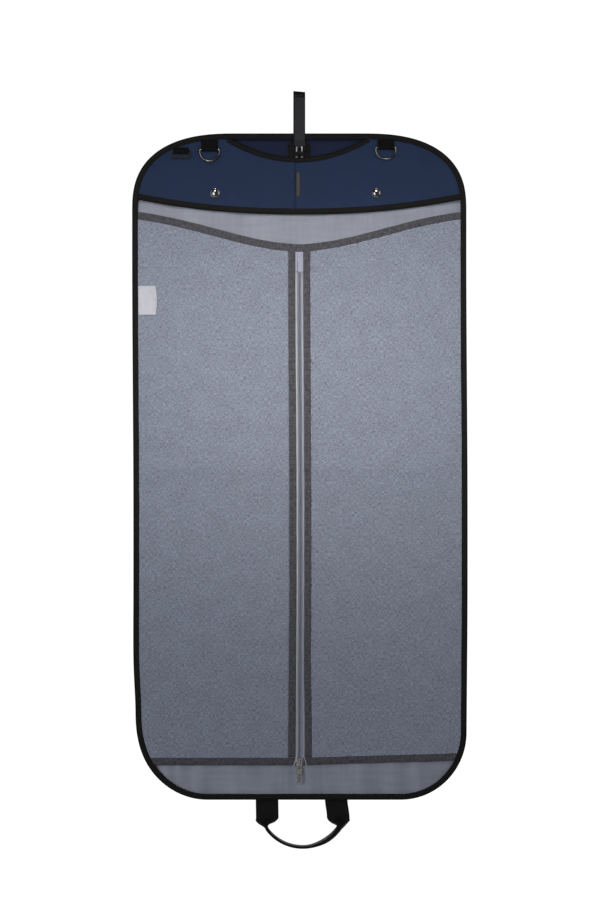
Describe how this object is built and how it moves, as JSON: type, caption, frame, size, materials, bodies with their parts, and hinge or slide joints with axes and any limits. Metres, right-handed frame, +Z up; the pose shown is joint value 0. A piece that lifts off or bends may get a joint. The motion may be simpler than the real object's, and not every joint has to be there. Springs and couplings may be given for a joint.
{
  "type": "garment bag",
  "caption": "Bi-fold garment bag hung open: padded back, satin lining, zipped mesh front, navy yoke with a hanger clamp and D-rings, black binding and a webbing carry handle.",
  "frame": {"origin": "the seat of the hanger clamp on the facing at the top of the bag, on the centre plane", "axes": "+Z up along the hanging bag, +X to the right seen from the mesh side, the mesh side faces -Y and the padded back faces +Y"},
  "size_m": [0.56, 0.0249, 1.2682],
  "materials": {
    "navy_shell": "matt plain-woven polyester",
    "navy_yoke": "matt plain-woven polyester with a soft sheen",
    "navy_facing": "matt plain-woven polyester",
    "foam": "soft open-cell foam sheet",
    "satin_lining": "smooth satin with a soft shine",
    "mesh_cloth": "fine open-woven translucent cloth",
    "grosgrain": "ribbed grosgrain tape",
    "black_binding": "folded woven binding tape",
    "black_webbing": "ribbed nylon webbing",
    "zip_tape": "herringbone zip tape",
    "zip_coil": "nylon coil",
    "lavender_tab": "woven tape",
    "white_label": "plain woven satin label",
    "board": "stiff plastic sheet",
    "black_moulding": "moulded nylon, semi-gloss",
    "black_gloss": "moulded, glossy",
    "gunmetal": "gunmetal plating, polished",
    "slider_metal": "nickel plating",
    "steel": "bright steel",
    "tag_metal": "bronze-grey enamelled flag tag"
  },
  "bodies": {
    "upper_half": {"back_shell_upper": "navy_shell", "back_foam_upper": "foam", "lining_upper": "satin_lining", "top_facing": "navy_facing", "clamp_board": "board", "outer_binding_upper": "black_binding", "yoke_left": "navy_yoke", "yoke_right": "navy_yoke", "yoke_hem_binding": "black_binding", "yoke_scoop_binding": "black_binding", "yoke_tag": "tag_metal", "mesh_left_upper": "mesh_cloth", "mesh_right_upper": "mesh_cloth", "mesh_top_tape": "grosgrain", "zip_cover_tape_left_upper": "grosgrain", "zip_cover_tape_right_upper": "grosgrain", "zip_tape_left_upper": "zip_tape", "zip_tape_right_upper": "zip_tape", "zip_coils_upper": "zip_coil", "zip_end_tab": "lavender_tab", "zip_stops": "slider_metal", "press_stud_caps": "gunmetal", "press_stud_sockets": "gunmetal", "press_studs": "gunmetal", "press_stud_posts": "gunmetal", "d_ring_tab_left": "black_webbing", "d_ring_tab_right": "black_webbing", "side_loop_tab": "black_webbing", "clamp_base": "black_moulding", "clamp_pin": "steel", "clamp_spring": "steel", "clamp_rivets": "steel", "strap_root": "black_webbing"},
    "lower_half": {"back_shell_lower": "navy_shell", "back_foam_lower": "foam", "lining_lower": "satin_lining", "outer_binding_lower": "black_binding", "mesh_left_lower": "mesh_cloth", "mesh_right_lower": "mesh_cloth", "mesh_bottom_tape_left": "grosgrain", "mesh_bottom_tape_right": "grosgrain", "zip_cover_tape_left_lower": "grosgrain", "zip_cover_tape_right_lower": "grosgrain", "zip_tape_left_lower": "zip_tape", "zip_tape_right_lower": "zip_tape", "zip_coils_lower": "zip_coil", "handle_anchors": "black_webbing"},
    "zip_slider": {"zip_slider": "slider_metal"},
    "zip_pull": {"zip_pull": "slider_metal"},
    "care_label": {"care_label": "white_label"},
    "d_ring_left": {"d_ring_left": "gunmetal"},
    "d_ring_right": {"d_ring_right": "gunmetal"},
    "side_loop_ring": {"side_loop_ring": "black_gloss"},
    "clamp_lever": {"clamp_lever": "black_moulding"},
    "hanger_strap": {"hanger_strap": "black_webbing"},
    "handle": {"handle": "black_webbing"}
  },
  "joints": [
    {"name": "fold", "type": "hinge", "parent": "upper_half", "child": "lower_half", "pos_m": [0, -0.024, -0.53], "axis": [-1, 0, 0], "range_deg": [0, 179.5]},
    {"name": "zip_slide", "type": "slide", "parent": "lower_half", "child": "zip_slider", "axis": [0, 0, 1], "range_m": [0, 0.44]},
    {"name": "zip_pull_swing", "type": "hinge", "parent": "zip_slider", "child": "zip_pull", "pos_m": [0, -0.0117, -1.0275], "axis": [-1, 0, 0], "range_deg": [0, 170]},
    {"name": "handle_swing", "type": "hinge", "parent": "lower_half", "child": "handle", "pos_m": [0.004, 0.002, -1.09], "axis": [-1, 0, 0], "range_deg": [-75, 75]},
    {"name": "strap_swing", "type": "hinge", "parent": "upper_half", "child": "hanger_strap", "pos_m": [0, -0.0088, 0.03], "axis": [1, 0, 0], "range_deg": [-90, 90]},
    {"name": "clamp_lever_swing", "type": "hinge", "parent": "upper_half", "child": "clamp_lever", "pos_m": [0, -0.0088, 0.003], "axis": [-1, 0, 0], "range_deg": [0, 75], "stiffness_Nm_per_rad": 0.01, "springref_deg": -17.19},
    {"name": "d_ring_left_swing", "type": "hinge", "parent": "upper_half", "child": "d_ring_left", "pos_m": [-0.15, -0.01006, 0.0005], "axis": [-1, 0, 0], "range_deg": [0, 150]},
    {"name": "d_ring_right_swing", "type": "hinge", "parent": "upper_half", "child": "d_ring_right", "pos_m": [0.145, -0.01006, 0.0035], "axis": [-1, 0, 0], "range_deg": [0, 150]},
    {"name": "side_loop_swing", "type": "hinge", "parent": "upper_half", "child": "side_loop_ring", "pos_m": [-0.198, -0.00996, -0.0035], "axis": [-1, 0, 0], "range_deg": [0, 150]},
    {"name": "care_label_swing", "type": "hinge", "parent": "upper_half", "child": "care_label", "pos_m": [-0.2696, -0.0074, -0.2535], "axis": [0, 0, -1], "range_deg": [0, 85]}
  ]
}
